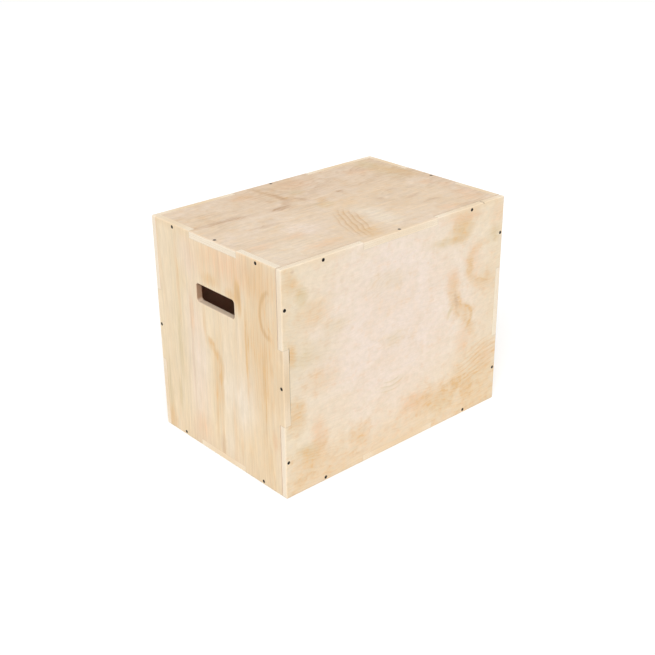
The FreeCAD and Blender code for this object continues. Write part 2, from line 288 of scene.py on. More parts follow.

# The marks of each panel by colour and form. A patch is soft and ragged. An arc is a stroke
# round its middle on the side that its turn points to, 0 being right and 90 up, and a hoop is a thin arc. A
# comb is a patch of close lines along its height, and a crack is crisp. A swell lifts the year rings by its
# strength in rings, so that they close in loops and arches about it. Calm wood is free of growth lines, soil
# dulls the edges, and a gap is a chip or a joint that stands open.
MARKS = {
    "front_panel": {
        "rose patch": [(360, 230, 480, 460, 1)],
        "pale patch": [
            (380, 150, 280, 240, 0.6), (40, 272, 50, 60, 0.7), (581, 312, 16, 34, 0.6),
            (530, 195, 44, 56, 0.7), (560, 330, 56, 90, 0.8), (556, 420, 40, 80, 0.5),
        ],
        "amber patch": [
            (380, 620, 620, 180, 0.34), (90, 560, 200, 130, 0.25), (720, 280, 150, 240, 0.14),
            (690, 510, 190, 170, 0.34), (30, 42, 36, 60, 0.5, 25), (95, 138, 85, 60, 0.4),
            (26, 218, 24, 44, 0.7), (110, 312, 95, 60, 0.35), (38, 385, 48, 70, 0.6),
            (75, 515, 75, 50, 0.4), (245, 512, 58, 56, 0.35), (515, 506, 130, 60, 0.5),
            (604, 488, 42, 60, 0.34), (645, 520, 36, 56, 0.4), (582, 232, 34, 92, 0.58, 8),
            (616, 284, 56, 34, 0.5, -35), (645, 335, 26, 64, 0.4, 30), (708, 220, 90, 55, 0.26, -15),
            (596, 58, 75, 56, 0.45, 20),
        ],
        "olive patch": [
            (20, 220, 90, 330, 0.3), (60, 82, 30, 44, 0.6, 20), (90, 240, 105, 60, 0.4),
            (80, 490, 64, 38, 0.6), (545, 540, 85, 45, 0.4), (567, 272, 10, 38, 0.6, -38),
            (602, 54, 55, 46, 0.5), (535, 75, 80, 22, 0.55, -5), (728, 95, 38, 38, 0.55),
            (342, 122, 100, 45, 0.27), (162, 188, 70, 34, 0.36), (360, 280, 52, 34, 0.35),
        ],
        "umber patch": [(35, 10, 14, 8, 0.4), (587, 246, 12, 40, 0.42, 8)],
        "blush patch": [
            (108, 462, 40, 85, 0.6, 8), (435, 495, 75, 48, 0.7), (715, 450, 64, 58, 0.4),
            (572, 186, 42, 54, 0.5), (620, 375, 48, 76, 0.45), (648, 150, 50, 85, 0.4),
            (612, 22, 95, 26, 0.7, -3), (735, 40, 44, 64, 0.35),
        ],
        "amber comb": [(690, 450, 70, 100, 0.5, -77)],
        "amber arc": [
            (618, 304, 30, 32, 0.5, 10), (690, 165, 58, 56, 0.3, 145), (690, 165, 58, 56, 0.27, 225),
        ],
        "olive comb": [(352, 408, 30, 50, 0.6, 90)],
        "soil patch": [(0, 100, 30, 120, 0.4), (125, 0, 150, 30, 0.4), (640, 0, 150, 30, 0.7)],
        # The gaps are painted shadow: in the open joint beside the left end's tab, and in a chip at the top
        # edge
        "gap crack": [(18.5, 300, 1.1, 130, 0.45), (18.5, 216, 1.8, 26, 0.75), (679, 1, 3, 4, 0.4)],
    },
    "left_end_panel": {
        "rose patch": [(165, 360, 70, 420, 0.6), (140, 65, 60, 80, 0.5)],
        "olive patch": [
            (95, 300, 56, 480, 0.25), (90, 330, 12, 180, 0.5), (78, 475, 12, 80, 0.7),
            (25, 500, 26, 180, 0.6),
        ],
        "amber patch": [
            (435, 190, 150, 330, 0.36), (445, 300, 110, 260, 0.22), (440, 40, 120, 90, 0.2),
            (430, 520, 130, 120, 0.22), (347, 117, 19, 60, 1), (237, 106, 40, 26, 0.6),
            (313, 118, 32, 26, 0.6), (374, 255, 10, 170, 0.6), (440, 262, 14, 120, 0.4),
            (208, 238, 10, 76, 0.4), (227, 271, 22, 14, 0.7, -20), (266, 395, 11, 110, 0.45),
            (250, 385, 30, 185, 0.4), (262, 540, 11, 120, 0.4), (100, 150, 10, 190, 0.4),
            (27, 570, 36, 60, 0.6), (440, 412, 10, 100, 0.35), (315, 505, 16, 150, 0.3),
        ],
        "umber patch": [
            # The first patch on the next line is painted shade, darkening the face towards the bottom
            (255, 640, 420, 130, 0.25), (347, 112, 11, 34, 0.3), (260, 560, 15, 55, 0.3),
            (148, 355, 8, 290, 0.25), (510, 215, 22, 30, 0.4),
        ],
        "blush patch": [
            (330, 50, 240, 95, 0.62), (174, 533, 56, 56, 0.5), (475, 448, 14, 52, 0.5),
            (155, 220, 16, 90, 0.5),
        ],
        "amber arc": [(480, 128, 50, 58, 0.16, 180), (220, 335, 50, 50, 0.5, 25)],
        "amber hoop": [(480, 130, 52, 62, 0.5, 180), (484, 130, 36, 44, 0.2, 180)],
        "umber hoop": [(480, 130, 51, 61, 0.26, 180)],
        "pale patch": [(332, 395, 115, 125, 0.8), (290, 545, 46, 100, 0.5), (195, 330, 40, 100, 0.4)],
        "soil patch": [(510, 300, 34, 170, 0.9), (80, 0, 110, 30, 0.7)],
        # A faint painted shadow along the face's front edge, beside the joint
        "gap patch": [(510, 300, 30, 130, 0.07)],
    },
    "top_panel": {
        "umber patch": [
            # The three broad patches on the next line are painted shade, darkening the top towards the back
            # and towards the right
            (430, -40, 560, 230, 0.27), (450, 150, 460, 130, 0.18), (790, 260, 160, 420, 0.3),
            (72, 165, 100, 19, 0.5, -1), (155, 177, 85, 17, 0.3, -11), (268, 188, 52, 18, 0.4, 3),
            (316, 85, 14, 98, 0.3, 8), (352, 170, 14, 48, 0.4, 20), (473, 185, 18, 13, 0.55),
            (640, 75, 48, 36, 0.25), (585, 266, 38, 14, 0.28), (590, 345, 46, 14, 0.32, 4),
            (510, 302, 20, 14, 0.28), (642, 285, 30, 12, 0.22), (602, 400, 38, 13, 0.3, -5),
            (650, 485, 70, 16, 0.35), (150, 265, 60, 14, 0.35),
        ],
        "amber patch": [
            (50, 110, 120, 110, 0.16), (420, 255, 60, 60, 0.25), (316, 85, 22, 105, 0.55, 8),
            (338, 152, 30, 52, 0.4, 30), (256, 54, 34, 30, 0.35), (385, 212, 24, 60, 0.6, -40),
            (326, 410, 50, 135, 0.3, -20), (322, 476, 40, 52, 0.4), (700, 110, 54, 64, 0.45),
            (716, 180, 48, 85, 0.55, 12),
        ],
        "pale patch": [(80, 440, 160, 120, 0.4), (410, 390, 68, 135, 0.7)],
        "umber arc": [(264, 130, 56, 56, 0.35, -45)],
        "blush patch": [
            (252, 55, 60, 44, 0.6), (420, 55, 95, 58, 0.6), (625, 90, 64, 44, 0.45, -20),
            (700, 290, 36, 28, 0.5), (720, 330, 30, 30, 0.4), (715, 410, 46, 40, 0.5),
            (690, 450, 56, 42, 0.5), (590, 470, 40, 36, 0.5), (60, 370, 56, 28, 0.45),
            (165, 365, 52, 28, 0.4), (180, 452, 85, 34, 0.5),
        ],
        "olive patch": [
            (380, 116, 34, 34, 0.6), (372, 236, 48, 34, 0.5), (690, 55, 48, 75, 0.6),
            (705, 150, 70, 130, 0.6, 12),
        ],
        "calm patch": [(332, 400, 75, 160, 1, -24)],
        "amber comb": [(332, 390, 46, 125, 0.6, -26)],
        "umber comb": [(332, 390, 46, 125, 0.4, -26)],
        "rose patch": [(210, 345, 70, 70, 0.6)],
        "soil patch": [(380, 510, 190, 30, 0.4)],
    },
    "back_panel": {
        "rose patch": [(418, 270, 420, 360, 0.8)],
        "rings swell": [(182, 372, 160, 100, 2.4), (638, 408, 220, 90, 3, 6)],
        "amber patch": [
            (167, 372, 60, 46, 0.45), (547, 120, 170, 70, 0.5, 4), (46, 108, 55, 120, 0.5, 10),
            (707, 540, 120, 75, 0.5),
        ],
        "amber arc": [(180, 372, 70, 52, 0.25, 160)],
        "pale patch": [(300, 180, 80, 60, 0.6)],
        "olive patch": [(380, 456, 130, 50, 0.5)],
        "amber comb": [(640, 410, 50, 120, 0.6, 84)],
        "blush patch": [(270, 545, 110, 36, 0.7)],
        "soil patch": [(760, 500, 30, 130, 0.7), (130, 0, 150, 30, 0.9), (630, 0, 150, 30, 0.9)],
    },
    "right_end_panel": {
        "olive patch": [(71, 300, 14, 300, 0.8), (439, 330, 12, 280, 0.8)],
        "amber patch": [(184, 384, 45, 200, 0.6, -4), (357, 480, 100, 170, 0.5), (128, 72, 18, 75, 0.9)],
        "rings swell": [(194, 420, 80, 360, -2.5, 3)],
        "amber arc": [(230, 330, 50, 70, 0.35, 125)],
        "blush patch": [(330, 60, 160, 70, 0.6)],
        "pale patch": [(296, 270, 110, 130, 0.7)],
        "umber patch": [(395, 420, 7, 240, 0.3)],
        "soil patch": [(80, 0, 110, 30, 0.9), (430, 0, 110, 30, 0.9)],
    },
    "bottom_panel": {
        "soil patch": [(380, 0, 190, 30, 0.9), (0, 255, 30, 150, 0.6)],
        "umber patch": [(228, 204, 18, 13, 1), (640, 110, 90, 11, 0.6, 4)],
        "rings swell": [(228, 204, 110, 70, 2.5), (547, 357, 230, 90, 4, 5)],
        "blush patch": [(502, 153, 160, 55, 0.6, 3)],
        "amber comb": [(550, 360, 60, 150, 0.7, 80)],
        "olive patch": [(91, 383, 100, 65, 0.6)],
        "pale patch": [(330, 420, 100, 70, 0.6)],
    },
}


def number(name, description, default, **limits):
    """A number with its limits and unit."""
    return bpy.props.FloatProperty(name=name, description=description, default=default, **limits)


def length(name, description, default):
    """A length, kept in metres."""
    return number(name, description, default, min=0, unit="LENGTH", precision=4)


def angle(name, description, default):
    """An angle, given in degrees and kept in radians."""
    return number(name, description, math.radians(default), subtype="ANGLE")


def share(name, description, default):
    """A strength from 0 to 1."""
    return number(name, description, default, min=0, max=1, subtype="FACTOR")


def tint(name, description, *screen_values):
    """A colour, given as the three values from 0 to 255 that a screen shows it with."""
    return bpy.props.FloatVectorProperty(
        name=name,
        description=description,
        default=[value / 255 for value in screen_values],
        size=3,
        min=0,
        max=1,
        subtype="COLOR_GAMMA",
    )


class PlywoodSettings(bpy.types.PropertyGroup):
    """Layers and colours of the panels."""

    plies: bpy.props.IntProperty(name="Plies", description="Veneers glued up in a panel", default=7, min=3)
    glue_line: length("Glue line", "Thickness of the glue that shows between two plies", 0.00025)
    long_finger: length("Long finger", "Middle finger on the edges along the box", 0.253)
    short_finger: length("Short finger", "Middle finger on the edges across the box", 0.186)
    upright_finger: length("Upright finger", "Middle finger on the upright edges", 0.200)
    joint_line: length("Joint line", "Width of the shadow along a joint, on each side of it", 0.0010)
    joint_shadow: share("Joint shadow", "How dark the joints are", 0.22)
    fibre: share("Fibre", "How strongly the fine fibre shows", 0.22)
    front_tone: tint("Front and back", "Wood of the long panels", 242, 226, 199)
    end_tone: tint("Ends", "Wood of the end panels", 242, 222, 190)
    top_tone: tint("Top and bottom", "Wood of the top and bottom panels", 235, 212, 185)
    inner_tone: tint("Inside", "Reddish back veneer that faces the hollow", 242, 186, 152)
    edge: tint("Sawn edge", "Long grain on a sawn and sanded edge", 251, 238, 216)
    end_grain: tint("End grain", "Cut fibre ends on an edge", 246, 229, 206)
    # Colour of the hand holes' walls: soil from hands together with painted shade in the hole
    hand_soil_and_shade: tint("Handled", "Wood darkened by hands in the hand holes", 186, 150, 122)
    amber: tint("Amber", "Resin-rich late wood", 229, 192, 143)
    blush: tint("Blush", "Orange-pink late wood", 238, 199, 162)
    olive: tint("Olive", "Dull grey-brown streaks", 221, 201, 162)
    # Also laid as painted shade in broad patches on the top and at the foot of the left end
    umber: tint("Umber", "Dark lines and pin knots", 198, 162, 128)
    rose: tint("Rose", "Cool pinkish early wood", 244, 227, 213)
    pale: tint("Pale", "Cool creamy early wood", 245, 232, 212)
    soil: tint("Soil", "Edge dulled by handling", 238, 212, 176)
    glue: tint("Glue", "Cured glue between the plies", 176, 138, 96)
    gap: tint("Gap", "Shadow in a joint or a chip", 92, 68, 48)


class ScrewSettings(bpy.types.PropertyGroup):
    """Sizes and colours of the wood screws."""

    neck: length("Neck", "Diameter of the plain shank under the head", 0.0034)
    root: length("Root", "Diameter at the bottom of the thread", 0.0030)
    crest: length("Crest", "Diameter over the thread", 0.0045)
    pitch: length("Pitch", "Advance of the thread in one turn", 0.0024)
    plain: length("Plain shank", "Length without thread, head included", 0.0150)
    point: length("Point", "Length of the tapered point", 0.0065)
    recess_span: length("Recess span", "Width of the driver cross over two arms", 0.0048)
    recess_arm: length("Recess arm", "Width of one arm of the driver cross", 0.0012)
    recess_depth: length("Recess depth", "Depth of the driver cross", 0.0020)
    black: tint("Black", "Phosphated steel", 26, 21, 18)
    worn: tint("Worn", "Steel where the driver and handling rubbed it", 50, 43, 38)


class StageSettings(bpy.types.PropertyGroup):
    """Camera, lights and floor."""

    azimuth: angle("Azimuth", "Camera's turn about the box from its front", -41.50)
    elevation: angle("Elevation", "Camera's height over level", 25.11)
    roll: angle("Roll", "Camera's turn about its own view", 0.588)
    distance: length("Distance", "From the camera to the point it aims at", 2.9768)
    aim: bpy.props.FloatVectorProperty(
        name="Aim",
        description="Point that lies in the middle of the picture",
        default=(-0.0098, 0.0086, 0.2532),
        subtype="TRANSLATION",
    )
    lens: number("Lens", "Focal length in millimetres", 60.66, min=1, unit="CAMERA")
    sky: share("Sky", "Level of the even light from all round", 0.62)
    key_strength: number("Key strength", "Strength of the broad key light", 1.85, min=0)
    key_azimuth: angle("Key azimuth", "Key light's turn about the box from its front", -45.0)
    key_elevation: angle("Key elevation", "Key light's height over level", 34.0)
    key_spread: angle("Key spread", "Breadth of the key light as the box sees it", 45.0)
    floor_radius: length("Floor radius", "Reach of the floor", 14.0)
    floor_tone: tint("Floor", "Paint of the floor", 226, 226, 226)
    floor_glow: share("Floor glow", "Lift that turns the seen floor white", 0.28)


class Wire:
    """A value in a material's node tree. Arithmetic on it adds Math nodes."""

    def __init__(self, finish, socket):
        self.finish = finish
        self.socket = socket

    def __add__(self, other):
        return self.finish.math("ADD", self, other)

    __radd__ = __add__

    def __sub__(self, other):
        return self.finish.math("SUBTRACT", self, other)

    def __rsub__(self, other):
        return self.finish.math("SUBTRACT", other, self)

    def __mul__(self, other):
        return self.finish.math("MULTIPLY", self, other)

    __rmul__ = __mul__

    def __abs__(self):
        return self.finish.math("ABSOLUTE", self)


class Finish:
    """A node tree under construction, of a material or a world."""

    def __init__(self, owner):
        owner.use_nodes = True
        self.tree = owner.node_tree
        self.tree.nodes.clear()

    def node(self, kind, settings=None, inputs=None, output=0):
        """Adds a node of that kind, makes its settings, then fills its sockets with values or wires."""
        made = self.tree.nodes.new(kind)
        for key, value in (settings or {}).items():
            if key == "stops":
                self.set_stops(made.color_ramp, value)
            else:
                setattr(made, key, value)
        for key, value in (inputs or {}).items():
            if isinstance(value, Wire):
                self.tree.links.new(value.socket, made.inputs[key])
            else:
                made.inputs[key].default_value = value
        return Wire(self, made.outputs[output] if made.outputs else None)

    def set_stops(self, ramp, stops):
        """Gives a ramp its stops, each a place and a grey level."""
        while len(ramp.elements) < len(stops):
            ramp.elements.new(1)
        for element, (place, level) in zip(ramp.elements, stops):
            element.position = place
            element.color = (level, level, level, 1)

    def math(self, operation, first, second=0.0):
        """One Math node."""
        return self.node("ShaderNodeMath", {"operation": operation}, {0: first, 1: second})

    def step(self, value, low, high):
        """0 up to low and 1 from high on, with an eased rise between them. Low may be the larger."""
        ends = {"Value": value, "From Min": low, "From Max": high}
        return self.node("ShaderNodeMapRange", {"interpolation_type": "SMOOTHSTEP"}, ends)

    def rise(self, value, name):
        """A step over the values that the table of rises gives."""
        return self.step(value, *RISES[name])

    def blend(self, factor, first, second):
        """Colours mixed by a factor."""
        sockets = {"Factor": factor, 6: first, 7: second}
        return self.node("ShaderNodeMix", {"data_type": "RGBA"}, sockets, output=2)

    def vector_math(self, operation, first, second):
        """One Vector Math node."""
        return self.node("ShaderNodeVectorMath", {"operation": operation}, {0: first, 1: second})

    def distance(self, vector):
        """How far a point lies from the origin."""
        return self.node("ShaderNodeVectorMath", {"operation": "LENGTH"}, {0: vector}, output="Value")

    def split(self, vector):
        """The three parts of a vector."""
        parts = self.node("ShaderNodeSeparateXYZ", inputs={"Vector": vector}).socket.node.outputs
        return [Wire(self, part) for part in parts]

    def join(self, x, y, z):
        """A vector from its three parts."""
        return self.node("ShaderNodeCombineXYZ", inputs={"X": x, "Y": y, "Z": z})

    def shade(self, colour, level):
        """A colour made lighter or darker by one level for its three parts."""
        return self.vector_math("MULTIPLY", colour, self.join(level, level, level))

    def noise(self, vector, name, output=0):
        """Cloudy noise as the table of noises gives it."""
        scale, detail, roughness = NOISES[name]
        grain = {"Vector": vector, "Scale": scale, "Detail": detail, "Roughness": roughness}
        return self.node("ShaderNodeTexNoise", inputs=grain, output=output)

    def spots(self, vector, name):
        """Noise cut down to its peaks by the rise of the same name."""
        return self.rise(self.noise(vector, name), name)

    def surface(self, colour, roughness, heights, bump, specular):
        """Ends a material with one shader, whose bump follows heights in metres."""
        relief = {"Strength": bump, "Distance": 1.0, "Height": heights}
        gloss = {
            "Base Color": colour,
            "Roughness": roughness,
            "Normal": self.node("ShaderNodeBump", inputs=relief),
            "Specular IOR Level": specular,
        }
        shader = self.node("ShaderNodeBsdfPrincipled", inputs=gloss)
        self.node("ShaderNodeOutputMaterial", inputs={"Surface": shader})


def linear(screen_colour):
    """The colour that a shader socket takes for one that is given as shown on screen."""
    return (*Color(screen_colour).from_srgb_to_scene_linear(), 1.0)


def weighed(weights, masks):
    """Sum of the masks that have a weight, each times its own."""
    return sum(masks[name] * weight for name, weight in weights.items())


def lay(finish, wood, colour, layers):
    """A colour with named colours of the wood laid over it in order, each by its own amount."""
    for name, amount in layers.items():
        colour = finish.blend(amount, colour, linear(getattr(wood, name)))
    return colour


def face_of(node):
    """Facing of a panel, the lower left outer corner of its face, and the face's width, height and depth."""
    facing = FACINGS[node]
    low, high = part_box(node)
    middle = (low + high) / 2
    width, height, depth = (abs((high - low).dot(axis)) for axis in facing)
    corner = middle - facing.right * width / 2 - facing.up * height / 2 + facing.out * depth / 2
    return facing, corner, width, height, depth


def year_ring(finish, phase):
    """Darkness over one year ring: early wood darkens slowly into late wood, which ends sharply."""
    stops = [(0.0, 0.0), (0.40, 0.10), (0.70, 0.55), (0.84, 1.0), (0.93, 0.30), (1.0, 0.0)]
    return finish.node("ShaderNodeValToRGB", {"stops": stops}, {"Fac": finish.math("FRACT", phase)})


def mark_shape(finish, form, mark, ground, ragged, height):
    """How strongly one mark shows, worked out in its own turned frame, where its reach is 1.

    A mark fades from its core to its reach, a patch with ragged edges. An arc or a hoop is a stroke along
    the circle of its reach instead, on the side that it faces. A comb's lines bend with the square of the
    place along them.
    """
    right, down, wide, tall = (size * MILLIMETRE for size in (mark.right, mark.down, mark.wide, mark.tall))
    spot = {
        "Vector": ground,
        "Location": (right, height - down, 0),
        "Rotation": (0, 0, math.radians(mark.turn)),
        "Scale": (wide, tall, 1),
    }
    local = finish.node("ShaderNodeMapping", {"vector_type": "TEXTURE"}, spot)
    away = finish.distance(local)
    if form in STROKES:
        side, _, _ = finish.split(local)
        stroke = finish.step(abs(away - 1 + ragged * LINE_WANDER), STROKES[form], 0.0)
        shape = stroke * finish.rise(side, "stroke_side")
    else:
        edge = away - ragged if form == "patch" else away
        shape = finish.step(edge, 1.0, CORES[form])
    if form == "comb":
        across, along, _ = finish.split(local)
        lines = across * (wide / COMB_PITCH) - along * along * COMB_BEND + ragged * LINE_WANDER
        shape = shape * year_ring(finish, lines)
    return mark.strength * shape


def stray(finish, place, drawn, name, reach):
    """A place shifted along the face by a noise's red and green, up to half of the reach each way."""
    wander = finish.noise(drawn, name, output="Color")
    shift = finish.vector_math("SUBTRACT", wander, [NOISE_MEAN] * 3)
    return finish.vector_math("ADD", place, finish.vector_math("MULTIPLY", shift, (reach, reach, 0)))


def face_veneer(finish, node, wood, place, height):
    """Colour and late-wood mask of a panel's face veneer, and how far each colour of its marks is spread.

    A rotary-cut veneer is a nearly level slice of the year rings, so its figure is the contour lines of a
    slowly rolling height: the place across the grain, noise drawn out along the grain, and the swells among
    its marks.
    """
    look = VENEERS[node]
    along_rate = BROAD_RATE / look.draw
    rates = (BROAD_RATE, along_rate, 1) if look.grain else (along_rate, BROAD_RATE, 1)
    drawn = finish.vector_math("MULTIPLY", place, rates)
    drawn = finish.vector_math("ADD", drawn, [look.seed] * 3)
    mottle = finish.noise(drawn, "mottle")
    ragged = (mottle - NOISE_MEAN) * EDGE_WANDER
    fleck = finish.noise(drawn, "fleck")

    # Soft marks lie on rough ground, lines on gentle ground, and cracks where they are
    rough = stray(finish, place, drawn, "stray", STRAY_REACH)
    gentle = stray(finish, place, drawn, "ease", EASE_REACH)
    grounds = {"patch": rough, "arc": rough, "swell": rough, "hoop": gentle, "comb": gentle, "crack": place}
    spread = dict.fromkeys((*FACE_COLOURS, "rings", "calm", "soil", "gap"), 0.0)
    for kind, rows in MARKS[node].items():
        colour, form = kind.split()
        for row in rows:
            spread[colour] += mark_shape(finish, form, Mark(*row), grounds[form], ragged, height)

    # Year rings, and fine growth lines along them
    x, y, _ = finish.split(place)
    across = x if look.grain else y
    rings = across * look.rings + finish.noise(drawn, "roll") * look.sway
    rings = rings + finish.noise(drawn, "ripple") * RIPPLE_RINGS + spread["rings"]
    patchy = finish.spots(drawn, "patchy")
    late = year_ring(finish, rings) * (FAINTEST_LATE + (1 - FAINTEST_LATE) * patchy)
    combed = finish.vector_math("MULTIPLY", drawn, (1, HAIR_DRAW, 1) if look.grain else (HAIR_DRAW, 1, 1))
    swing = finish.noise(combed, "swing") * HAIR_SWING
    hair = year_ring(finish, across * HAIR_RATE + rings * HAIR_PER_RING + swing)
    hair_share = look.hair * (1 - spread["calm"])
    bunch = hair * finish.spots(drawn, "bunch") * hair_share
    lined = (hair - HAIR_MEAN) * hair_share

    # Warm and cool patches, dull flecks and the figure join the marks
    cloud = finish.noise(drawn, "cloud")
    warm = finish.rise(cloud, "warm_cloud") * look.cloud + finish.rise(mottle, "warm_mottle") * look.mottle
    cool = finish.rise(cloud, "cool_cloud") * look.cloud + finish.rise(mottle, "cool_mottle") * look.mottle
    dull = finish.spots(drawn, "dull") * look.mottle
    spread["amber"] += warm
    spread["rose"] += cool
    spread["olive"] += weighed(OLIVE_SHARES, {"late": late * look.figure, "dull": dull, "bunch": bunch})
    spread[look.line] += late * look.figure

    broken = (fleck * FLECK_GAIN + FLECK_LEAST) * (1 + lined)
    layers = {name: spread[name] * broken for name in FACE_COLOURS}
    colour = lay(finish, wood, linear(getattr(wood, look.tone)), layers)
    tones = {"fleck": fleck - NOISE_MEAN, "mottle": mottle - NOISE_MEAN, "hair": lined}
    return finish.shade(colour, 1 + weighed(TONE_SHARES, tones)), late, spread


def joint_lines(finish, node, wood, x, y, width, height, depth):
    """Thin painted shadow where a panel's face meets its neighbours.

    A joint runs one panel's thickness in from the face's edge, along a notch or outside the panel's own tab,
    and turns out to the edge at the finger's ends.
    """
    joint = JOINTS[node]
    line = wood.joint_line
    sides = (
        (y, height / 2, x, width / 2, joint.level_finger, joint.level_own),
        (x, width / 2, y, height / 2, joint.upright_finger, joint.upright_own),
    )
    shadow = 0.0
    for across, across_half, along, along_half, finger, own in sides:
        inwards = finish.math("PINGPONG", across, across_half)
        from_middle = abs(along - along_half)
        half = getattr(wood, finger) / 2
        beside = finish.step(from_middle, half - line, half + line)
        if not own:
            beside = 1 - beside
        seam = finish.step(abs(inwards - depth), line, 0.0) * beside
        end = finish.step(abs(from_middle - half), line, 0.0) * finish.step(inwards, depth + line, depth)
        shadow = shadow + finish.math("MAXIMUM", seam, end)
    # Patchy noise varies the strength of the painted joint shadow
    worn = finish.noise(finish.join(x, y, VENEERS[node].seed), "seam_shadow_patches")
    return finish.math("MINIMUM", shadow, 1.0) * (SEAM_FAINTEST + worn * SEAM_GAIN)


def hole_walls(finish, node, corner, x, y):
    """1 within and just round a panel's hand hole, and 0 elsewhere."""
    holes = {opening["name"]: opening["box_m"] for opening in frame["record"]["physics"]["openings"]}
    name = node.replace("end_panel", "hand_hole")
    if name not in holes:
        return 0.0
    low, high = (Vector(end) for end in holes[name])
    middle = (low + high) / 2 - corner
    near = 1.0
    for place, way in ((x, FACINGS[node].right), (y, FACINGS[node].up)):
        reach = abs((high - low).dot(way)) / 2 + HOLE_DARKENING_RIM
        near = near * finish.step(abs(place - middle.dot(way)), reach + HOLE_DARKENING_RIM, reach)
    return near


def plywood(node, wood):
    """Solid plywood for one panel: a figured veneer on both faces and a stack of crossed plies between them.

    Everything is worked out from a point's depth under the outer face and its place along and across the
    grain, so edges, rounded arrises, notches and the hand hole cut through the same layers.
    """
    facing, corner, width, height, depth = face_of(node)
    look = VENEERS[node]
    material = bpy.data.materials.new(f"plywood_{node}")
    finish = Finish(material)

    turn = Matrix((facing.right, facing.up, facing.out)).to_euler()
    start = [-corner.dot(axis) for axis in facing]
    solid = finish.node("ShaderNodeTexCoord", output="Object")
    place = finish.node("ShaderNodeMapping", inputs={"Vector": solid, "Location": start, "Rotation": turn})
    normal = finish.node("ShaderNodeTexCoord", output="Normal")
    slope = finish.node("ShaderNodeMapping", {"vector_type": "VECTOR"}, {"Vector": normal, "Rotation": turn})
    x, y, out = finish.split(place)
    lean_x, lean_y, lean_out = finish.split(slope)

    # The plies, counted inwards from the outer face, each a little wavy
    wave = finish.noise(finish.join(x, y, 0.0), "ply_wave") - NOISE_MEAN
    layer = (wave * PLY_WAVE - out) * (wood.plies / depth)
    layer = finish.math("MINIMUM", finish.math("MAXIMUM", layer, PLY_MARGIN), wood.plies - PLY_MARGIN)
    ply = finish.math("FLOOR", layer)
    crossed = finish.math("MODULO", ply + look.grain, 2.0)
    end = abs(lean_x) * (1 - crossed) + abs(lean_y) * crossed
    edge = 1 - finish.rise(abs(lean_out), "level")

    # Fibres run along each ply's own grain
    change = crossed * (FIBRE_ACROSS - FIBRE_ALONG)
    rates = finish.join(FIBRE_ALONG + change, FIBRE_ACROSS - change, FIBRE_ACROSS)
    strands = finish.vector_math("MULTIPLY", place, rates)
    shifts = [ply * shift for shift in FIBRE_SHIFTS]
    strands = finish.vector_math("ADD", strands, finish.join(*shifts, look.seed))
    fibre = finish.noise(strands, "fibre")
    streak = finish.noise(strands, "streak")
    pore = finish.spots(strands, "pore")

    # The back veneer faces the hollow, and the walls of the hand hole are darkened, part by soil from hands
    # and part by painted shade, less where they face up
    face, late, spread = face_veneer(finish, node, wood, place, height)
    back = finish.step(layer, wood.plies - 1, wood.plies - 1 + PLY_BLEND)
    face = lay(finish, wood, face, {"inner_tone": back})
    end_share = finish.rise(end, "end_grain") * (END_GRAIN_FAINTEST + fibre * END_GRAIN_GAIN)
    less_darkened = LESS_DARKENED_UPWARDS * finish.math("MAXIMUM", lean_y, 0.0)
    hand_soil_and_shade = hole_walls(finish, node, corner, x, y) * (1 - less_darkened)
    sawn = lay(finish, wood, linear(wood.edge), {"end_grain": end_share, "hand_soil_and_shade": hand_soil_and_shade})
    colour = finish.blend(edge, face, sawn)

    # Glue lines show on the edges only
    inside = finish.rise(layer, "inner_ply") * finish.rise(wood.plies - layer, "inner_ply")
    glue_reach = wood.glue_line * wood.plies / depth
    glue = 1 - finish.step(finish.math("PINGPONG", layer, 0.5), glue_reach * GLUE_CORE, glue_reach)
    glue = glue * inside * edge

    # Glue, soiled edges, painted shadow in the joints and chips, then the shade of the fibre
    joints = joint_lines(finish, node, wood, x, y, width, height, depth) * wood.joint_shadow
    colour = lay(finish, wood, colour, {"glue": glue * GLUE_SHARE, "soil": spread["soil"], "gap": joints})
    colour = lay(finish, wood, colour, {"gap": spread["gap"]})
    grain = {"fibre": fibre - NOISE_MEAN, "pore": pore, "streak": (streak - NOISE_MEAN) * look.streak}
    colour = finish.shade(colour, 1 + weighed(SHADE_SHARES, grain) * wood.fibre)

    masks = {"fibre": fibre, "streak": streak, "late": late, "pore": pore, "glue": glue, "end": end * edge}
    roughness = WOOD_ROUGHNESS + weighed(ROUGHNESS_SHARES, masks)
    finish.surface(colour, roughness, weighed(WOOD_HEIGHTS, masks), WOOD_BUMP, WOOD_SPECULAR)
    return material


def phosphate(steel):
    """Black phosphated steel, dull and mottled, a little brighter where it was rubbed."""
    material = bpy.data.materials.new("black_phosphate")
    finish = Finish(material)
    solid = finish.node("ShaderNodeTexCoord", output="Object")
    mottle = finish.noise(solid, "phosphate")
    rub = finish.spots(solid, "rub")
    colour = finish.blend(rub * RUB_SHARE, linear(steel.black), linear(steel.worn))
    roughness = STEEL_ROUGHNESS + weighed(STEEL_SHARES, {"mottle": mottle, "rub": rub})
    finish.surface(colour, roughness, mottle * STEEL_HEIGHT, STEEL_BUMP, STEEL_SPECULAR)
    return material


def dress_panels(nodes, wood):
    """Gives each panel its own plywood."""
    for node in nodes:
        slots = frame["nodes"][node].data.materials
        slots.clear()
        slots.append(plywood(node, wood))


def all_round(values):
    """Rows of a screw, each with one value all round it."""
    return np.repeat(np.asarray(values)[:, None], SCREW_COLUMNS, axis=1)


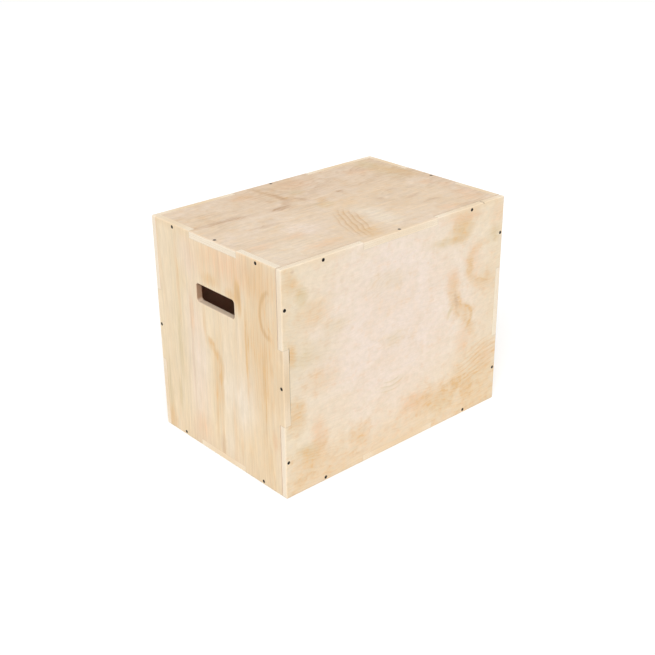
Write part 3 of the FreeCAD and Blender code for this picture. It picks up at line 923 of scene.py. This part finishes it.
def screw_rows(steel, head_radius, screw_length):
    """Radius and depth of a screw over a grid of rows along it and columns around it, both as arrays.

    Rows run from the middle of the driver recess out over the head, down the countersunk head, neck and
    thread to the point. The recess is a cross, whose edge lies at the smaller of its arm's end and half its
    arm's width over the sine of the angle from the arm, eased into each other. The thread's radius rises
    from root to crest with a triangle wave of the depth in pitches less the turn, and both shrink evenly to
    nothing over the point.
    """
    around = np.linspace(0, 2 * np.pi, SCREW_COLUMNS, endpoint=False)
    from_arm = np.abs((around + np.pi / 4) % (np.pi / 2) - np.pi / 4)
    to_side = np.sin(from_arm) / (steel.recess_arm / 2)
    to_end = 1 / (steel.recess_span / 2)
    recess = (to_side ** CORNER_POWER + to_end ** CORNER_POWER) ** (-1 / CORNER_POWER)
    recess_r = np.outer(RECESS_REACH_SHARES, recess)
    recess_d = all_round(np.array(RECESS_DEPTH_SHARES) * steel.recess_depth)

    # Flat face, blunt rim and cone of the head
    flat = np.linspace(0, 1, FACE_ROWS)[1:, None]
    face_r = recess_r[-1] * (1 - flat) + (head_radius - HEAD_RIM) * flat
    neck_radius = steel.neck / 2
    cone_depth = head_radius - neck_radius
    fall = np.linspace(0, 1, CONE_ROWS)
    cone_r = all_round(head_radius - RIM_DRAFT - fall * (cone_depth - RIM_DRAFT))
    cone_d = all_round(RIM_DEPTH + fall * cone_depth)

    # Neck and thread
    neck_d = all_round(np.linspace(cone_d[-1, 0] + NECK_MARGIN, steel.plain - NECK_MARGIN, NECK_ROWS))
    rows = int((screw_length - steel.plain) / steel.pitch * TURN_ROWS)
    thread_d = all_round(np.linspace(steel.plain, screw_length - BLUNT_TIP, rows))
    turns = thread_d / steel.pitch - around / (2 * np.pi)
    wave = np.abs((turns % 1) * 2 - 1)
    ridge = np.clip(1 - (1 - wave) * THREAD_STEEPNESS, 0, 1)
    run_in = np.clip((thread_d - steel.plain) / steel.pitch, 0, 1)
    taper = np.clip((screw_length - thread_d) / steel.point, 0, 1)
    root = neck_radius + (steel.root / 2 - neck_radius) * run_in
    thread_r = (root + (steel.crest / 2 - root) * ridge * run_in) * taper

    radius = np.vstack([recess_r, face_r, cone_r, np.full_like(neck_d, neck_radius), thread_r])
    depth = np.vstack([recess_d, np.zeros_like(face_r), cone_d, neck_d, thread_d])
    return radius, depth, around


def ring_surface(points, closed):
    """Vertices and faces of a surface given on a grid of rows and closed columns.

    Each row joins the next by four-sided faces, the last column joins the first, and the first row closes on
    its own middle point. The last row closes alike where the surface is a closed one.
    """
    rows, columns, _ = points.shape
    index = 1 + np.arange(rows * columns).reshape(rows, columns)
    beside = np.roll(index, -1, axis=1)
    vertices = [points[0].mean(0)[None], points.reshape(-1, 3)]
    first_fan = np.stack([np.zeros(columns, int), beside[0], index[0]], axis=-1)
    quads = np.stack([index[:-1], beside[:-1], beside[1:], index[1:]], axis=-1).reshape(-1, 4)
    faces = [*first_fan.tolist(), *quads.tolist()]
    if closed:
        vertices.append(points[-1].mean(0)[None])
        last_fan = np.stack([np.full(columns, rows * columns + 1), index[-1], beside[-1]], axis=-1)
        faces += last_fan.tolist()
    return np.vstack(vertices), faces


def add_object(name, data):
    """An object in the scene, at the origin."""
    made = bpy.data.objects.new(name, data)
    bpy.context.scene.collection.objects.link(made)
    return made


def add_mesh(name, vertices, faces, material, smooth):
    """A mesh object at the origin with its place in its vertices."""
    mesh = bpy.data.meshes.new(name)
    mesh.from_pydata(vertices.tolist(), [], faces)
    mesh.polygons.foreach_set("use_smooth", np.full(len(faces), smooth))
    mesh.materials.append(material)
    mesh.update()
    return add_object(name, mesh)


def drive_screw(node, order, facing, steel, material):
    """Makes one screw where its plain solid lies, turned by the golden angle from the one before it.

    Its points lie their radius out from the screw's axis and their depth below the face of its head.
    """
    low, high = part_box(node)
    middle = (low + high) / 2
    screw_length = abs((high - low).dot(facing.out))
    head_radius = abs((high - low).dot(facing.right)) / 2
    head = middle + facing.out * screw_length / 2
    radius, depth, around = screw_rows(steel, head_radius, screw_length)
    golden_turn = math.pi * (3 - math.sqrt(5))
    turned = around + order * golden_turn
    points = (
        np.array(head)
        + (radius * np.cos(turned))[..., None] * np.array(facing.right)
        + (radius * np.sin(turned))[..., None] * np.array(facing.up)
        - depth[..., None] * np.array(facing.out)
    )
    vertices, faces = ring_surface(points, closed=True)
    screw = add_mesh(f"{node}_black", vertices, faces, material, smooth=True)
    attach(screw, BODY)
    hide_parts(node)


def round_about(target, azimuth, elevation, distance):
    """The point at that turn from the front, height over level and distance from a target."""
    level = distance * math.cos(elevation)
    rise = distance * math.sin(elevation)
    return target + Vector((level * math.sin(azimuth), -level * math.cos(azimuth), rise))


def add_key(stage, target):
    """A broad key light that falls evenly on the whole scene."""
    lamp = bpy.data.lights.new("key_light", "SUN")
    lamp.energy = stage.key_strength
    lamp.angle = stage.key_spread
    key = add_object("key_light", lamp)
    key.location = round_about(target, stage.key_azimuth, stage.key_elevation, stage.distance)
    key.rotation_euler = (target - key.location).to_track_quat("-Z", "Y").to_euler()


def add_camera(stage):
    """The photograph's camera, level but for its roll."""
    lens = bpy.data.cameras.new("camera")
    lens.lens = stage.lens
    camera = add_object("camera", lens)
    aim = Vector(stage.aim)
    camera.location = round_about(aim, stage.azimuth, stage.elevation, stage.distance)
    level_view = (aim - camera.location).to_track_quat("-Z", "Y").to_matrix()
    camera.rotation_euler = (level_view @ Matrix.Rotation(-stage.roll, 3, "Z")).to_euler()
    bpy.context.scene.camera = camera


def seen_directly(finish):
    """1 for what is seen, also in a mirror or through glass, and 0 for light that falls on the box."""
    ways = finish.node("ShaderNodeLightPath").socket.node.outputs
    seen = [Wire(finish, ways[name]) for name in ("Is Camera Ray", "Is Glossy Ray", "Is Transmission Ray")]
    return finish.math("MINIMUM", seen[0] + seen[1] + seen[2], 1.0)


def add_sky(stage):
    """Even light from all round, seen as plain white."""
    world = bpy.data.worlds.new("studio")
    finish = Finish(world)
    level = stage.sky + seen_directly(finish) * (1 - stage.sky)
    light = finish.node("ShaderNodeBackground", inputs={"Color": (1, 1, 1, 1), "Strength": level})
    finish.node("ShaderNodeOutputWorld", inputs={"Surface": light})
    bpy.context.scene.world = world


def floor_paint(stage):
    """Matt pale paint, lifted to white where it is seen, so that only the shadow of the box shows on it.

    Far out it fades into the plain white all round.
    """
    material = bpy.data.materials.new("floor_paint")
    finish = Finish(material)
    place = finish.node("ShaderNodeTexCoord", output="Object")
    seen = seen_directly(finish)
    roughness = FLOOR_ROUGHNESS + finish.noise(place, "speckle") * SPECKLE_ROUGHNESS
    dull = {"Color": linear(stage.floor_tone), "Roughness": roughness}
    paint = finish.node("ShaderNodeBsdfDiffuse", inputs=dull)
    glow = finish.node("ShaderNodeEmission", inputs={"Strength": seen * stage.floor_glow})
    lifted = finish.node("ShaderNodeAddShader", inputs={0: paint, 1: glow})
    fade = [stage.floor_radius * part for part in FADE_SHARES]
    far = finish.step(finish.distance(place), *fade)
    white = finish.node("ShaderNodeEmission")
    faded = finish.node("ShaderNodeMixShader", inputs={0: far * seen, 1: lifted, 2: white})
    finish.node("ShaderNodeOutputMaterial", inputs={"Surface": faded})
    return material


def add_floor(stage):
    """A round floor under the box: rings of points from its middle to its edge, all at one height.

    The columns run clockwise as seen from above, so that the floor faces up.
    """
    around = np.linspace(2 * np.pi, 0, FLOOR_COLUMNS, endpoint=False)
    across = np.outer(FLOOR_RING_SHARES, np.cos(around)) * stage.floor_radius
    along = np.outer(FLOOR_RING_SHARES, np.sin(around)) * stage.floor_radius
    level = np.full_like(across, cad_box[0].z - FLOOR_CLEARANCE)
    vertices, faces = ring_surface(np.stack([across, along, level], axis=-1), closed=False)
    add_mesh("floor", vertices, faces, floor_paint(stage), smooth=False)


class PLYO_OT_long_panels(bpy.types.Operator):
    """Dress the front and back panels"""

    bl_idname = "plyo.long_panels"
    bl_label = "Front and back panels"

    def execute(self, context):
        dress_panels(LONG_PANELS, context.scene.plyo_plywood)
        return {"FINISHED"}


class PLYO_OT_end_panels(bpy.types.Operator):
    """Dress the two end panels with their hand holes"""

    bl_idname = "plyo.end_panels"
    bl_label = "End panels"

    def execute(self, context):
        dress_panels(END_PANELS, context.scene.plyo_plywood)
        return {"FINISHED"}


class PLYO_OT_level_panels(bpy.types.Operator):
    """Dress the top and bottom panels"""

    bl_idname = "plyo.level_panels"
    bl_label = "Top and bottom panels"

    def execute(self, context):
        dress_panels(LEVEL_PANELS, context.scene.plyo_plywood)
        return {"FINISHED"}


class PLYO_OT_screws(bpy.types.Operator):
    """Make a threaded black screw in each of the panels' screw holes"""

    bl_idname = "plyo.screws"
    bl_label = "Wood screws"

    def execute(self, context):
        steel = context.scene.plyo_screws
        material = phosphate(steel)
        nodes = sorted(name for name in frame["nodes"] if "_screw_" in name)
        if not nodes:
            raise RuntimeError("the packed model holds no screws")
        for order, node in enumerate(nodes):
            panel = node.rsplit("_screw_", 1)[0]
            drive_screw(node, order, FACINGS[panel], steel, material)
        return {"FINISHED"}


class PLYO_OT_stage(bpy.types.Operator):
    """Set up the floor, the soft light and the camera"""

    bl_idname = "plyo.stage"
    bl_label = "Studio"

    def execute(self, context):
        stage = context.scene.plyo_stage
        add_floor(stage)
        add_sky(stage)
        add_key(stage, (cad_box[0] + cad_box[1]) / 2)
        add_camera(stage)
        context.scene.view_settings.view_transform = "Standard"
        return {"FINISHED"}


STEPS = (PLYO_OT_long_panels, PLYO_OT_end_panels, PLYO_OT_level_panels, PLYO_OT_screws, PLYO_OT_stage)


class PLYO_PT_sidebar(bpy.types.Panel):
    """Lists the steps that make the box"""

    bl_idname = "PLYO_PT_sidebar"
    bl_label = "Plyo Box"
    bl_space_type = "VIEW_3D"
    bl_region_type = "UI"
    bl_category = "Plyo Box"

    def draw(self, context):
        for step in STEPS:
            self.layout.operator(step.bl_idname)


SETTINGS = {"plyo_plywood": PlywoodSettings, "plyo_screws": ScrewSettings, "plyo_stage": StageSettings}
KINDS = (*SETTINGS.values(), *STEPS, PLYO_PT_sidebar)


def register():
    for kind in KINDS:
        bpy.utils.register_class(kind)
    for name, kind in SETTINGS.items():
        setattr(bpy.types.Scene, name, bpy.props.PointerProperty(type=kind))


def unregister():
    for name in SETTINGS:
        delattr(bpy.types.Scene, name)
    for kind in reversed(KINDS):
        bpy.utils.unregister_class(kind)


def main():
    register()
    bpy.ops.plyo.long_panels()
    bpy.ops.plyo.end_panels()
    bpy.ops.plyo.level_panels()
    bpy.ops.plyo.screws()
    bpy.ops.plyo.stage()


if __name__ == "__main__":
    main()
